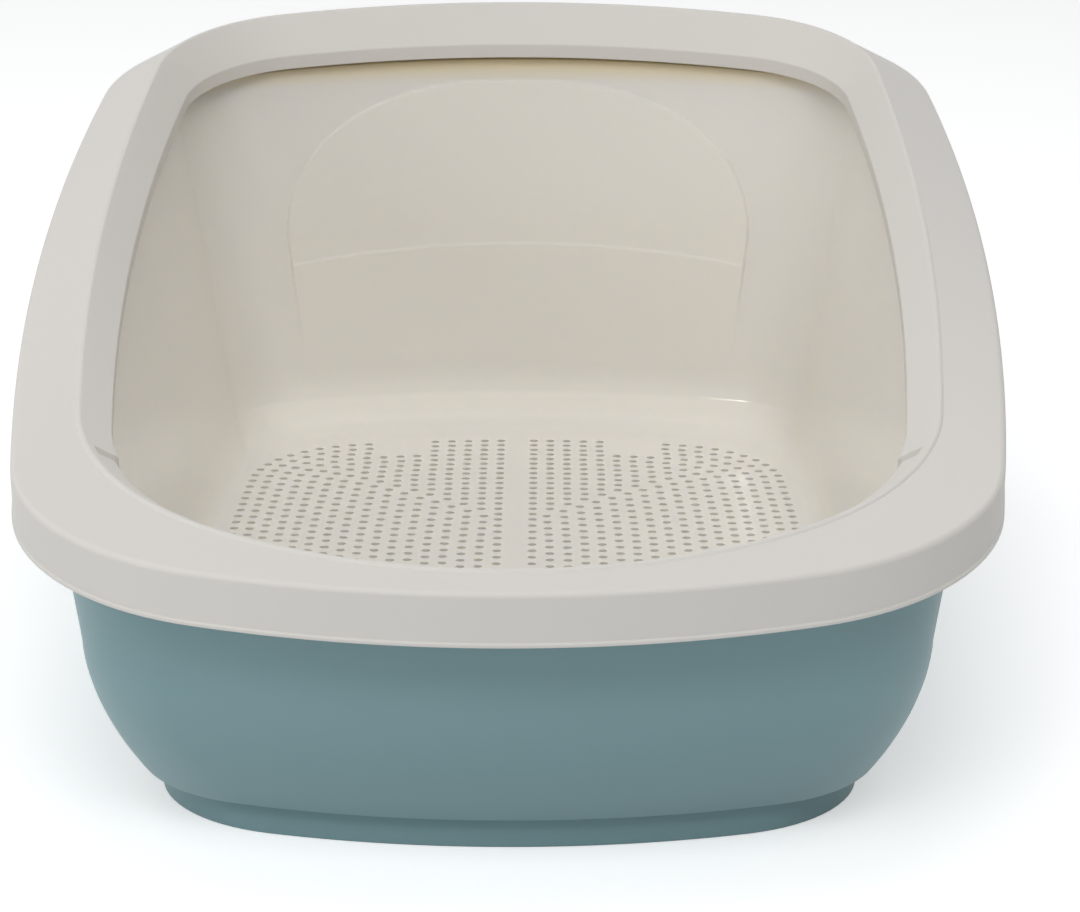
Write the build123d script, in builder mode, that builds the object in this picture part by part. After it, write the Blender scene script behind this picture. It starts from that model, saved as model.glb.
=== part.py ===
"""Three-part sifting litter tray: a base pan, a sieve insert that hangs in it and a rim frame over both.

Millimetres, +Z up, front towards -Y. The origin is on the floor, under the middle of the whole tray.
"""
from build123d import *
import os
from math import cos, hypot, pi, sin, sqrt

os.makedirs("parts", exist_ok=True)

# Whole tray seen from above: a rectangle with bowed sides and round corners
tray_width = 390.0
tray_length = 590.0
side_radius = 1955.0
side_middle_y = 17.0
front_radius = 376.0
back_radius = 410.0
front_corner_radius = 103.0
back_corner_radius = 98.0

# Heights of the rim frame, which slopes up from the low front to the high back
edge_front_height = 122.0
edge_back_height = 207.5
ridge_front_height = 123.0
tray_height = 220.0
inner_edge_front_height = 119.0
inner_edge_back_height = 202.5

# Rim frame: a skirt, an outer face up to the ridge, an inner face down to the lip
rim_wall = 2.4
skirt_height = 20.4
outer_face_width = 25.0
inner_face_width = 12.5
ridge_front_inset = 23.0
ridge_front_radius = 199.0
ridge_front_corner_radius = 125.0
lip_height = 5.0
ridge_land = 2.0
apex_share = 0.9
seat_step_width = 4.0
entry_step_depth = 0.8
entry_step_y = -172.0

# Base pan: foot ring, curved bowl, drafted wall and flange
pan_wall = 2.6
pan_floor_height = 15.0
pan_flange_thickness = 2.4
pan_turn_down = 3.5
pan_top_inset = 16.0
foot_height = 12.8
foot_wall = 3.0
foot_half_width = 141.5
foot_half_length = 229.0
foot_corner_radius = 62.0
crease_half_width = 149.0
crease_half_length = 234.5
crease_corner_radius = 58.0
bowl_top_height = 74.0
bowl_top_inset = 24.7
bowl_corner_radius = 52.0
bowl_power = 1.6
bowl_steps = 6

# Sieve insert: perforated floor, cove, drafted wall and flange
sieve_wall = 2.2
sieve_flange_thickness = 2.4
sieve_flange_drop = 8.0
sieve_side_inset = 31.0
sieve_front_inset = 28.0
sieve_back_inset = 32.0
sieve_front_corner_radius = 56.0
sieve_back_corner_radius = 48.0
sieve_floor_height = 25.0
floor_half_width = 129.0
floor_half_length = 221.0
cove_half_width = 139.0
cove_half_length = 243.0
cove_height = 11.0
cove_corner_radius = 34.0
cove_steps = 4

# Sieve holes, in nested lines round both halves of the floor, with a bare band down the middle
hole_diameter = 3.9
outer_line_half_width = 123.6
outer_line_half_length = 203.0
outer_line_end_radius = 400.0
outer_line_corner_radius = 55.0
line_spacing = 14.5
hole_pitch = 15.8
middle_band_width = 15.2
line_count = 9
bare_patch_near_x = 42.0
bare_patch_width = 20.0
bare_patch_lines = 2
plate_margin = 2.0

# Arched panel, raised a little on the inner side of the sieve's back wall
panel_relief = 1.2
panel_half_width = 104.0
panel_bottom_height = 52.0
panel_shoulder_height = 158.0
panel_top_height = 184.0
panel_shoulder_radius = 40.0

# Fits between the three parts, and an overrun for cuts
seat_gap = 0.3
skirt_clearance = 1.0
overrun = 5.0

half_width = tray_width / 2
half_length = tray_length / 2


def sloping_plane(front_height, front_inset, back_height, back_inset, drop=0.0):
    """The plane through two heights above the front and back of an outline, moved down by a drop."""
    front_y, back_y = front_inset - half_length, half_length - back_inset
    rise, run = back_height - front_height, back_y - front_y
    slope = hypot(rise, run)
    middle_height = front_height - front_y * rise / run
    return Plane(
        origin=(0, 0, middle_height - drop), x_dir=(1, 0, 0), z_dir=(0, -rise / slope, run / slope)
    )


def edge_plane(drop=0.0):
    """The plane of the rim's outer edge, or one a drop below it."""
    return sloping_plane(edge_front_height, 0.0, edge_back_height, 0.0, drop)


def arc_meeting(side_centre, side_arc, end_centre_y, end_arc, end):
    """Where the right-hand side arc meets an end arc; end is -1 at the front and 1 at the back."""
    across, along = -side_centre[0], end_centre_y - side_centre[1]
    span = hypot(across, along)
    reach = (side_arc**2 - end_arc**2 + span**2) / (2 * span)
    off = sqrt(side_arc**2 - reach**2)
    x = side_centre[0] + (reach * across - end * off * along) / span
    y = side_centre[1] + (reach * along + end * off * across) / span
    return x, y


def outline_points(half_w, front_y, back_y, side_arc, front_arc, back_arc):
    """Corner points of an outline before its corners are rounded: front right, back right."""
    side_centre = (half_w - side_arc, side_middle_y)
    front = arc_meeting(side_centre, side_arc, front_y + front_arc, front_arc, -1)
    back = arc_meeting(side_centre, side_arc, back_y - back_arc, back_arc, 1)
    return front, back


def outline(
    plane, side_inset, front_inset, back_inset, front_corner, back_corner, front_arc=front_radius
):
    """The tray's outline, moved inward, as a face on a level or sloping plane."""
    stretch = 1 / abs(plane.z_dir.Z)
    half_w = half_width - side_inset
    front_y = (front_inset - half_length) * stretch
    back_y = (half_length - back_inset) * stretch
    front, back = outline_points(
        half_w,
        front_y,
        back_y,
        side_radius - side_inset,
        front_arc - front_inset,
        back_radius - back_inset,
    )
    with BuildSketch(plane) as sketch:
        with BuildLine():
            ThreePointArc(front, (half_w, side_middle_y), back)
            ThreePointArc(back, (0, back_y), (-back[0], back[1]))
            ThreePointArc((-back[0], back[1]), (-half_w, side_middle_y), (-front[0], front[1]))
            ThreePointArc((-front[0], front[1]), (0, front_y), front)
        make_face()
        fillet(sketch.vertices().group_by(Axis.Y)[0], front_corner)
        fillet(sketch.vertices().group_by(Axis.Y)[-1], back_corner)
    return sketch.sketch


def even_outline(plane, inset):
    """The tray's outline moved inward by the same distance all round."""
    return outline(
        plane, inset, inset, inset, front_corner_radius - inset, back_corner_radius - inset
    )


def level_outline(height, half_w, half_l, corner):
    """A level outline of a given half width and half length."""
    side_inset, end_inset = half_width - half_w, half_length - half_l
    return outline(Plane.XY.offset(height), side_inset, end_inset, end_inset, corner, corner)


def even_extrusion(drop, inset, depth, mode=Mode.ADD):
    """Part Operation: a plate parallel to the rim's edge, extruded straight down."""
    extrude(even_outline(edge_plane(drop), inset), amount=depth, dir=(0, 0, -1), mode=mode)


# Where the stacked flanges lie below the rim's edge
flange_inset = rim_wall + skirt_clearance
funnel_depth = skirt_height + overrun
pan_flange_drop = sieve_flange_drop + sieve_flange_thickness + seat_gap


def bowl_section(share, wall, bottom_height):
    """Section of the bowl: its inset shrinks with a power of the height that is left."""
    left = (1 - share) ** bowl_power
    height = bottom_height + share * (bowl_top_height - bottom_height)
    top_half_w, top_half_l = half_width - bowl_top_inset, half_length - bowl_top_inset
    half_w = top_half_w - left * (top_half_w - crease_half_width)
    half_l = top_half_l - left * (top_half_l - crease_half_length)
    corner = bowl_corner_radius + left * (crease_corner_radius - bowl_corner_radius)
    return level_outline(height, half_w - wall, half_l - wall, corner - wall)


def pan_bowl(wall, bottom_height, mode=Mode.ADD):
    """The bowl and the drafted wall above it, up to the sloping flange, smaller by a wall."""
    shares = [step / bowl_steps for step in range(bowl_steps + 1)]
    sections = [bowl_section(share, wall, bottom_height) for share in shares]
    loft(sections, mode=mode)
    mouth = even_outline(edge_plane(pan_flange_drop), pan_top_inset + wall)
    loft([sections[-1], mouth], ruled=True, mode=mode)


with BuildPart() as base_pan:
    pan_bowl(0.0, foot_height)
    even_extrusion(pan_flange_drop, flange_inset, pan_flange_thickness)
    # Turned-down edge of the flange
    with BuildPart(mode=Mode.PRIVATE) as turned_edge:
        even_extrusion(pan_flange_drop, flange_inset, pan_flange_thickness + pan_turn_down)
        even_extrusion(
            pan_flange_drop,
            flange_inset + pan_flange_thickness,
            pan_flange_thickness + pan_turn_down,
            Mode.SUBTRACT,
        )
    add(turned_edge.part)
    pan_bowl(pan_wall, pan_floor_height, Mode.SUBTRACT)
    # Foot ring
    extrude(level_outline(0.0, foot_half_width, foot_half_length, foot_corner_radius), amount=foot_height)
    extrude(
        level_outline(
            0.0, foot_half_width - foot_wall, foot_half_length - foot_wall, foot_corner_radius - foot_wall
        ),
        amount=foot_height,
        mode=Mode.SUBTRACT,
    )
base_pan.part.label = "base_pan"
export_step(base_pan.part, "parts/base_pan.step")


def cove_section(share, wall):
    """Section of the quarter-round cove between the sieve's floor and its wall."""
    turn = share * pi / 2
    height = sieve_floor_height - wall + cove_height * (1 - cos(turn))
    half_w = floor_half_width + (cove_half_width + wall - floor_half_width) * sin(turn)
    half_l = floor_half_length + (cove_half_length + wall - floor_half_length) * sin(turn)
    return level_outline(height, half_w, half_l, cove_corner_radius + wall * sin(turn))


def sieve_top(wall, relief=0.0):
    """The mouth of the sieve's walls on the flange's plane."""
    return outline(
        edge_plane(sieve_flange_drop),
        sieve_side_inset - wall,
        sieve_front_inset - wall,
        sieve_back_inset - wall + relief,
        sieve_front_corner_radius + wall,
        sieve_back_corner_radius + wall,
    )


def sieve_tub(wall, mode=Mode.ADD):
    """The sieve's floor, cove and drafted walls, larger by a wall."""
    sections = [cove_section(step / cove_steps, wall) for step in range(cove_steps + 1)]
    loft(sections, mode=mode)
    loft([sections[-1], sieve_top(wall)], ruled=True, mode=mode)


def hole_line(index):
    """Hole centres on one side of the band, from the back round the corners to the front."""
    inset = index * line_spacing
    half_w = outer_line_half_width - inset
    back_y = outer_line_half_length - inset
    end_arc = outer_line_end_radius - inset
    front, back = outline_points(half_w, -back_y, back_y, side_radius - inset, end_arc, end_arc)
    near_x = middle_band_width / 2
    near_y = back_y - end_arc + sqrt(end_arc**2 - near_x**2)
    corner = outer_line_corner_radius - inset
    with BuildLine(mode=Mode.PRIVATE) as line:
        if half_w > near_x + line_spacing / 2:
            mid_x = (near_x + back[0]) / 2
            mid_y = back_y - end_arc + sqrt(end_arc**2 - mid_x**2)
            ThreePointArc((near_x, near_y), (mid_x, mid_y), back)
            ThreePointArc(back, (half_w, side_middle_y), front)
            ThreePointArc(front, (mid_x, -mid_y), (near_x, -near_y))
            if corner > line_spacing:
                fillet(line.vertices().sort_by(Axis.X)[-2:], corner)
        else:
            Line((near_x, near_y), (near_x, -near_y))
    wire = line.wires()[0]
    count = round(wire.length / hole_pitch)
    return [wire @ (step / count) for step in range(count + 1)]


def on_bare_patch(index, centre):
    """Whether a hole would fall on one of the two bare patches beside the middle of the back."""
    beyond = centre.X - bare_patch_near_x
    return index < bare_patch_lines and centre.Y > 0 and 0 < beyond < bare_patch_width


right_holes = [
    (centre.X, centre.Y)
    for index in range(line_count)
    for centre in hole_line(index)
    if not on_bare_patch(index, centre)
]
hole_centres = right_holes + [(-x, y) for x, y in right_holes]


def plate_outline(height):
    """Outline of the perforated part of the sieve's floor, a little inside the start of the cove."""
    return level_outline(
        height,
        floor_half_width - plate_margin,
        floor_half_length - plate_margin,
        cove_corner_radius - plate_margin,
    )


with BuildSketch(Plane.XY.offset(sieve_floor_height)) as perforated_floor:
    add(plate_outline(0.0))
    with Locations(*hole_centres):
        Circle(hole_diameter / 2, mode=Mode.SUBTRACT)

with BuildSketch(Plane.XZ) as arch:
    with BuildLine():
        Line((-panel_half_width, panel_bottom_height), (panel_half_width, panel_bottom_height))
        Line((panel_half_width, panel_bottom_height), (panel_half_width, panel_shoulder_height))
        ThreePointArc(
            (panel_half_width, panel_shoulder_height),
            (0, panel_top_height),
            (-panel_half_width, panel_shoulder_height),
        )
        Line((-panel_half_width, panel_shoulder_height), (-panel_half_width, panel_bottom_height))
    make_face()
    fillet(arch.vertices().group_by(Axis.Y)[1], panel_shoulder_radius)

with BuildPart() as back_panel:
    sieve_tub(0.0)
    loft([cove_section(1.0, 0.0), sieve_top(0.0, panel_relief)], ruled=True, mode=Mode.SUBTRACT)
    extrude(arch.sketch, amount=-half_length, mode=Mode.INTERSECT)

with BuildPart() as sieve_insert:
    sieve_tub(sieve_wall)
    even_extrusion(sieve_flange_drop, flange_inset, sieve_flange_thickness)
    sieve_tub(0.0, Mode.SUBTRACT)
    extrude(plate_outline(sieve_floor_height), amount=-sieve_wall, mode=Mode.SUBTRACT)
    extrude(perforated_floor.sketch, amount=-sieve_wall)
    add(back_panel.part)
sieve_insert.part.label = "sieve_insert"
export_step(sieve_insert.part, "parts/sieve_insert.step")


def ridge_plane(drop=0.0):
    """The plane of the rim's ridge."""
    return sloping_plane(ridge_front_height, ridge_front_inset, tray_height, outer_face_width, drop)


def inner_edge_plane(drop=0.0):
    """The plane of the edge where the rim's inner face turns down into the lip."""
    front_inset = ridge_front_inset + inner_face_width
    back_inset = outer_face_width + inner_face_width
    return sloping_plane(
        inner_edge_front_height, front_inset, inner_edge_back_height, back_inset, drop
    )


def ridge_outline(plane, beyond):
    """The outline of the ridge, rounder at the front than the tray, or one moved inward from it."""
    inset = outer_face_width + beyond
    return outline(
        plane,
        inset,
        ridge_front_inset + beyond,
        inset,
        ridge_front_corner_radius - beyond,
        back_corner_radius - inset,
        ridge_front_inset + ridge_front_radius,
    )


def rim_funnel(wall, apex_drop, depth, mode=Mode.ADD):
    """The opening inside the rim: the inner face and the lip, larger by a wall."""
    lip_beyond = inner_face_width - wall
    loft(
        [
            ridge_outline(inner_edge_plane(depth), lip_beyond),
            ridge_outline(inner_edge_plane(wall / 2), lip_beyond),
            ridge_outline(ridge_plane(apex_drop), ridge_land / 2),
        ],
        ruled=True,
        mode=mode,
    )


def rim_chamber(mode=Mode.ADD):
    """The hollow underside of the rim, between the skirt, the outer face and the inner face."""
    apex_drop = (rim_wall + ridge_land) * apex_share
    loft(
        [
            even_outline(edge_plane(skirt_height + overrun), rim_wall),
            even_outline(edge_plane(rim_wall), rim_wall),
            ridge_outline(ridge_plane(apex_drop), 0.0),
        ],
        ruled=True,
        mode=mode,
    )
    rim_funnel(rim_wall, apex_drop, funnel_depth, Mode.SUBTRACT)


with BuildPart() as rim_hollow:
    rim_chamber()

# The inner face is a little deeper round the low entry
with BuildPart() as entry_step:
    rim_funnel(entry_step_depth, entry_step_depth, funnel_depth)
    split(bisect_by=Plane.XZ.offset(-entry_step_y))

# Step inside the skirt, which sits on the sieve's flange
with BuildPart() as seat_step:
    step_depth = sieve_flange_drop - seat_gap - rim_wall / 2
    even_extrusion(rim_wall / 2, rim_wall / 2, step_depth)
    even_extrusion(rim_wall / 2, rim_wall + seat_step_width, step_depth, Mode.SUBTRACT)

with BuildPart() as rim_frame:
    loft(
        [
            even_outline(edge_plane(skirt_height), 0.0),
            even_outline(edge_plane(), 0.0),
            ridge_outline(ridge_plane(), -ridge_land / 2),
        ],
        ruled=True,
    )
    rim_funnel(0.0, 0.0, funnel_depth, Mode.SUBTRACT)
    add(entry_step.part, mode=Mode.SUBTRACT)
    add(rim_hollow.part, mode=Mode.SUBTRACT)
    # The lip ends a little below the inner edge
    lip_end = ridge_outline(inner_edge_plane(lip_height), 0.0)
    extrude(lip_end, amount=funnel_depth, dir=(0, 0, -1), mode=Mode.SUBTRACT)
    add(seat_step.part)
rim_frame.part.label = "rim_frame"
export_step(rim_frame.part, "parts/rim_frame.step")
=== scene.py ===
"""Sifting litter tray for Blender: a teal base pan, a cream sieve insert and an off-white rim frame.

The file is laid out as an add-on and is run as a script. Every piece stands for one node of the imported
CAD model, in the same frame: metres, +Z up, the low entry towards -Y, the floor at Z = 0.
"""
from math import atan2, cos, hypot, pi, radians, sin, sqrt

import bmesh
import bpy
from bpy.props import FloatProperty, FloatVectorProperty, IntProperty, PointerProperty
from bpy.types import Operator, Panel, PropertyGroup
from mathutils import Matrix, Vector


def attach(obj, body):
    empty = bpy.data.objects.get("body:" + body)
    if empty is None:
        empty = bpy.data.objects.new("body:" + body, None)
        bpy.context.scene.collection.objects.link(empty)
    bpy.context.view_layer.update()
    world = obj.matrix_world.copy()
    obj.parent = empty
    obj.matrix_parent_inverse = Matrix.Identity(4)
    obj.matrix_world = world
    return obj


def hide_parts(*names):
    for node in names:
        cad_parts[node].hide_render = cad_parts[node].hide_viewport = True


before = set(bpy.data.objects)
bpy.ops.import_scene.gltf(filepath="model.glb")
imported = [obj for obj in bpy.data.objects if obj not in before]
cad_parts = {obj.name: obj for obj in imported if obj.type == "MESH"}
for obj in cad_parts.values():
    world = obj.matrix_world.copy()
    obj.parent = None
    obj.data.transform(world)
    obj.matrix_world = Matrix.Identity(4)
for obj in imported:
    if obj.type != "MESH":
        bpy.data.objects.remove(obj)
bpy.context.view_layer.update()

bl_info = {
    "name": "Sifting litter tray",
    "version": (1, 0, 0),
    "blender": (4, 5, 0),
    "location": "3D View > Sidebar > Litter tray",
    "description": "Builds a three-part sifting litter tray and a studio stage for it",
    "category": "Add Mesh",
}

MM = 0.001

# Spans of back, back corner, side, front corner (by its parts) and front in half an outline
PLAIN_SPANS = (14, 14, 26, (14,), 14)
SIEVE_SPANS = (54, 16, 26, (14,), 14)
RIM_SPANS = (16, 20, 26, (7, 1, 1, 16), 16)
LINE_SPANS = (60, 20, 60, (20,), 60)

# Rings up a curve or wall
BOWL_STEPS = 16
WALL_STEPS = 4
COVE_STEPS = 8
BACK_WALL_STEPS = 76

# Vertices this close are merged, and edges over this angle stay sharp
SAME_PLACE = 1e-6
SHARP_ANGLE = radians(40)

# Power of the superellipse in the back panel's arch
ARCH_POWER = 2.3

# How the lines of holes spread at their ends, per line squared, and their sharpest corner
END_SPREAD = 0.000023
SHARPEST_CORNER = 0.002

# Entry groove as a part of the front corner, entry step as one of the inner face's width,
# hollow under the ridge in walls, and the rings that are rounded like the lip
GROOVE_RUN = 0.012
STEP_RUN = 0.03
HOLLOW_DEPTH = 1.8
LIP_RINGS = ("inner edge", "lip end", "skirt foot", "skirt inside")

# Moulded plastic: its grain, and how far red, green and blue light go into it
PLASTIC_IOR = 1.49
FINE_GRAIN = 900.0
SOFT_GRAIN = 500.0
GRAIN_DETAIL = 2.0
GRAIN_HEIGHT = 0.0004
LIGHT_REACH = (1.0, 0.75, 0.35)
LIGHT_DEPTH = 0.012
WHITE = (1.0, 1.0, 1.0, 1.0)

# Name, place and size of each lamp, and how wide one is that stays out of reflections
LAMPS = (
    ("front", (0.0, -1.7, 1.9), (1.6, 1.0)),
    ("top", (0.0, 0.1, 2.4), (1.6, 1.6)),
    ("left", (-1.8, -0.7, 0.8), (1.0, 1.0)),
    ("back", (-1.2, 0.9, 1.8), (1.0, 1.0)),
    ("right", (1.2, -0.4, 1.8), (1.0, 1.0)),
    ("glint", (-0.95, -1.25, 1.35), (0.14, 0.14)),
)
LAMP_TARGET = (0.0, 0.0, 0.1)
BROAD_LAMP = 0.5

# Camera: place in metres, degrees that it looks down and turns left, and its sensor in millimetres
CAMERA_PLACE = (0.01738, -1.66985, 0.5948)
CAMERA_TILT = 17.1
CAMERA_TURN = 0.212
SENSOR_WIDTH = 36.0
NEAREST_SEEN = 0.05


def length(name, description, millimetres):
    """A length property whose default is given in millimetres."""
    return FloatProperty(
        name=name, description=description, default=millimetres * MM, unit="LENGTH", precision=5
    )


def share(name, description, default):
    """A factor property."""
    return FloatProperty(name=name, description=description, default=default, subtype="FACTOR")


def number(name, description, default):
    """A whole-number property."""
    return IntProperty(name=name, description=description, default=default, min=1)


def power(name, description, watts):
    """A lamp's power."""
    return FloatProperty(name=name, description=description, default=watts, unit="POWER")


def colour(name, description, red, green, blue):
    """A colour property whose default is given as it shows on screen, from 0 to 255."""
    return FloatVectorProperty(
        name=name,
        description=description,
        default=tuple(linear(value / 255) for value in (red, green, blue)),
        subtype="COLOR",
        min=0.0,
        max=1.0,
    )


def linear(value):
    """Screen value to linear light, by the sRGB curve."""
    return value / 12.92 if value <= 0.04045 else ((value + 0.055) / 1.055) ** 2.4


class TrayOutline(PropertyGroup):
    """The tray from above, and the slope of the edge that its flanges follow."""

    width: length("Width", "Width over the rim frame", 390.0)
    length: length("Length", "Length over the rim frame", 590.0)
    side_radius: length("Side radius", "Radius of the bowed long sides", 1955.0)
    side_middle_y: length("Side middle", "Where the bowed sides stand furthest out", 17.0)
    front_radius: length("Front radius", "Radius of the bowed front", 376.0)
    back_radius: length("Back radius", "Radius of the bowed back", 410.0)
    front_corner_radius: length("Front corner", "Radius of the front corners", 103.0)
    back_corner_radius: length("Back corner", "Radius of the back corners", 98.0)
    edge_front_height: length("Front height", "Height of the rim's outer edge at the front", 122.0)
    edge_back_height: length("Back height", "Height of the rim's outer edge at the back", 207.5)


class RimShape(PropertyGroup):
    """The rim frame: skirt, outer face, ridge, inner face and lip."""

    wall: length("Wall", "Thickness of the rim frame", 2.4)
    skirt_height: length("Skirt height", "Height of the skirt under the outer edge", 20.4)
    bead_height: length("Bead height", "Height of the bead along the skirt's foot", 1.3)
    bead_depth: length("Bead depth", "How far the skirt lies behind that bead", 0.6)
    outer_face_width: length("Outer face", "Width of the outer face", 25.0)
    inner_face_width: length("Inner face", "Width of the inner face", 12.5)
    lip_height: length("Lip height", "Height of the lip under the inner edge", 6.3)
    ridge_land: length("Ridge", "Width of the ridge between the two faces", 1.4)
    ridge_rise: length("Ridge rise", "Height of the ridge over the outer face", 0.7)
    ridge_front_inset: length("Ridge inset", "Distance of the ridge inside the tray's front", 23.0)
    ridge_front_radius: length("Ridge front radius", "Radius of the ridge's front", 199.0)
    ridge_corner_radius: length("Ridge corner", "Radius of the ridge's front corners", 125.0)
    ridge_front_height: length("Ridge front", "Height of the ridge at the front", 123.0)
    ridge_back_height: length("Ridge back", "Height of the ridge at the back", 220.0)
    inner_front_height: length("Inner front", "Height of the inner edge at the front", 119.0)
    inner_back_height: length("Inner back", "Height of the inner edge at the back", 202.5)
    seat_drop: length("Seat", "Depth of the inner step that sits on the sieve's flange", 7.7)
    seat_width: length("Seat width", "Width of that step", 4.0)
    edge_round: length("Edge rounding", "Rounding between the skirt and the outer face", 2.2)
    ridge_round: length("Ridge rounding", "Rounding of the ridge", 0.5)
    lip_round: length("Lip rounding", "Rounding of the inner edge and the skirt's foot", 0.6)
    entry_step_depth: length("Entry step", "How far the inner face steps back round the entry", 1.6)
    entry_step_fall: length("Entry step fall", "How far the inner face steps down there", 0.7)
    groove_depth: length("Entry groove", "Depth of the groove at both ends of that step", 1.2)
    entry_step_part: share("Entry step place", "Part of the front corner that lies behind it", 0.235)
    entry_step_top: length("Entry step top", "Distance of the step from the ridge", 2.6)


class PanShape(PropertyGroup):
    """The base pan: flange, drafted wall, curved bowl and foot ring."""

    wall: length("Wall", "Thickness of the pan", 2.6)
    flange_drop: length("Flange", "Depth of the flange under the rim's edge", 10.7)
    flange_thickness: length("Flange thickness", "Thickness of the flange", 2.4)
    turn_down: length("Turned edge", "Height of the flange's turned-down edge", 3.5)
    flange_inset: length("Flange inset", "Distance of the flange's edge inside the skirt's face", 3.4)
    top_inset: length("Wall inset", "Distance of the wall's top inside the rim's outline", 16.0)
    bowl_top_height: length("Bowl top", "Height where the bowl meets the drafted wall", 74.0)
    bowl_top_inset: length("Bowl inset", "Distance of the bowl's top inside the rim's outline", 24.7)
    bowl_corner_radius: length("Bowl corner", "Corner radius of the bowl's top", 52.0)
    bowl_power: FloatProperty(
        name="Bowl power", description="How suddenly the bowl turns in", default=1.6
    )
    crease_half_width: length("Crease width", "Half width of the bowl at the foot ring", 149.0)
    crease_half_length: length("Crease length", "Half length of the bowl at the foot ring", 234.5)
    crease_corner_radius: length("Crease corner", "Corner radius of the bowl at the foot", 58.0)
    foot_height: length("Foot height", "Height of the foot ring", 12.8)
    foot_wall: length("Foot wall", "Thickness of the foot ring", 3.0)
    foot_half_width: length("Foot width", "Half width of the foot ring", 141.5)
    foot_half_length: length("Foot length", "Half length of the foot ring", 229.0)
    foot_corner_radius: length("Foot corner", "Corner radius of the foot ring", 62.0)
    floor_height: length("Floor height", "Height of the pan's floor", 15.0)
    edge_round: length("Edge rounding", "Rounding of the crease, foot and flange", 1.0)


class SieveShape(PropertyGroup):
    """The sieve insert: flange, drafted walls, cove and floor."""

    wall: length("Wall", "Thickness of the sieve", 2.2)
    flange_drop: length("Flange", "Depth of the flange under the rim's edge", 8.0)
    flange_thickness: length("Flange thickness", "Thickness of the flange", 2.4)
    side_inset: length("Side inset", "Distance of the mouth inside the outline at the sides", 31.0)
    front_inset: length("Front inset", "Distance of the mouth inside the outline at the front", 28.0)
    back_inset: length("Back inset", "Distance of the mouth inside the outline at the back", 32.0)
    front_corner_radius: length("Front corner", "Radius of the mouth's front corners", 56.0)
    back_corner_radius: length("Back corner", "Radius of the mouth's back corners", 48.0)
    floor_height: length("Floor height", "Height of the floor's upper face", 25.0)
    floor_half_width: length("Floor width", "Half width of the flat floor", 129.0)
    floor_half_length: length("Floor length", "Half length of the flat floor", 221.0)
    cove_half_width: length("Cove width", "Half width at the top of the cove", 139.0)
    cove_half_length: length("Cove length", "Half length at the top of the cove", 243.0)
    cove_height: length("Cove height", "Height of the cove", 11.0)
    cove_corner_radius: length("Cove corner", "Corner radius of the floor", 34.0)
    cove_rise: length("Cove rise", "Height over the floor where the cove has become the wall", 26.0)
    # Heights of the warm shade painted on the sieve's wall under the back lip
    lip_shade_from: length("Lip shade from", "Height where the painted shade under the back lip starts", 184.0)
    lip_shade_to: length("Lip shade to", "Height where that painted shade is at its strongest", 195.0)
    mouth_round: length("Mouth rounding", "Rounding between the walls and the flange", 2.0)


class BackPanel(PropertyGroup):
    """The arched panel on the inner side of the sieve's back wall, and the ledge under it."""

    relief: length("Relief", "How far the panel stands proud", 1.1)
    edge_width: length("Edge width", "Width of the panel's sloping edge", 1.3)
    half_width: length("Half width", "Half width of the panel", 108.0)
    bottom_height: length("Bottom", "Height of the panel's lower edge", 45.0)
    side_lean: share("Side lean", "How much the sides draw in towards the bottom", 0.12)
    shoulder_height: length("Shoulder", "Height where the sides turn into the arch", 116.0)
    top_height: length("Top", "Height of the arch's top", 186.0)
    fold_height: length("Fold", "Height of the fold across the middle of the panel", 109.5)
    fold_sag: length("Fold sag", "How much lower the fold is at the panel's sides", 7.0)
    fold_step: length("Fold step", "How far the panel's lower part stands out at the fold", 0.25)
    fold_width: length("Fold width", "Height of that step and of the ledge", 1.2)
    ledge_height: length("Ledge", "Height of the ledge at the back of the cove", 38.0)
    ledge_step: length("Ledge step", "How far the cove stands out under the ledge", 0.5)
    ledge_half_width: length("Ledge width", "Half width of the ledge with its ends", 150.0)
    ledge_end: length("Ledge end", "Length over which each end of the ledge fades", 30.0)


class HolePattern(PropertyGroup):
    """Nested lines of holes round both halves of the sieve's floor."""

    diameter: length("Diameter", "Diameter of a hole", 3.9)
    sides: number("Sides", "Sides of a hole's outline", 10)
    lines: number("Lines", "Lines of holes on each side", 17)
    half_width: length("Half width", "Half width of the outermost line", 123.6)
    half_length: length("Half length", "Half length of the outermost line", 206.5)
    end_radius: length("End radius", "Radius of the outermost line at its ends", 400.0)
    corner_radius: length("Corner radius", "Corner radius of the outermost line", 55.0)
    first_column: length("First column", "Distance of the first column from the middle", 7.6)
    side_spacing: length("Side spacing", "Spacing of the outermost lines at the sides", 6.7)
    end_spacing: length("End spacing", "Spacing of the outermost lines at the ends", 7.07)
    end_pitch: length("End pitch", "Pitch of the holes along the ends", 7.6)
    side_pitch: length("Side pitch", "Pitch of the holes along the sides", 8.6)
    bare_patch_x: length("Bare patch", "Distance of the bare patches from the middle", 42.0)
    bare_patch_width: length("Bare patch width", "Width of the bare patches", 20.0)
    bare_patch_lines: number("Bare patch lines", "Lines that the bare patches cross", 3)


class Finishes(PropertyGroup):
    """Colours and gloss of the three plastics, and the warm shade painted on the sieve under its back
    lip.
    """

    teal: colour("Pan colour", "Colour of the base pan", 124, 156, 161)
    cream: colour("Sieve colour", "Colour of the sieve insert", 233, 228, 219)
    # Painted shade: the sieve's wall under the back lip, shaded by the lip and lit warm through the
    # plastic
    lip_shade_colour: colour("Painted lip shade colour", "Warm shade painted on the sieve under the back lip", 228, 206, 156)
    off_white: colour("Rim colour", "Colour of the rim frame", 212, 209, 204)
    pan_roughness: share("Pan roughness", "Roughness of the base pan", 0.48)
    sieve_roughness: share("Sieve roughness", "Roughness of the sieve insert", 0.15)
    rim_roughness: share("Rim roughness", "Roughness of the rim frame", 0.5)
    grain: share("Grain", "Strength of the moulded grain", 0.04)
    sieve_depth: share("Sieve depth", "How much light enters the thin plastic of the sieve", 0.2)


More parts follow.
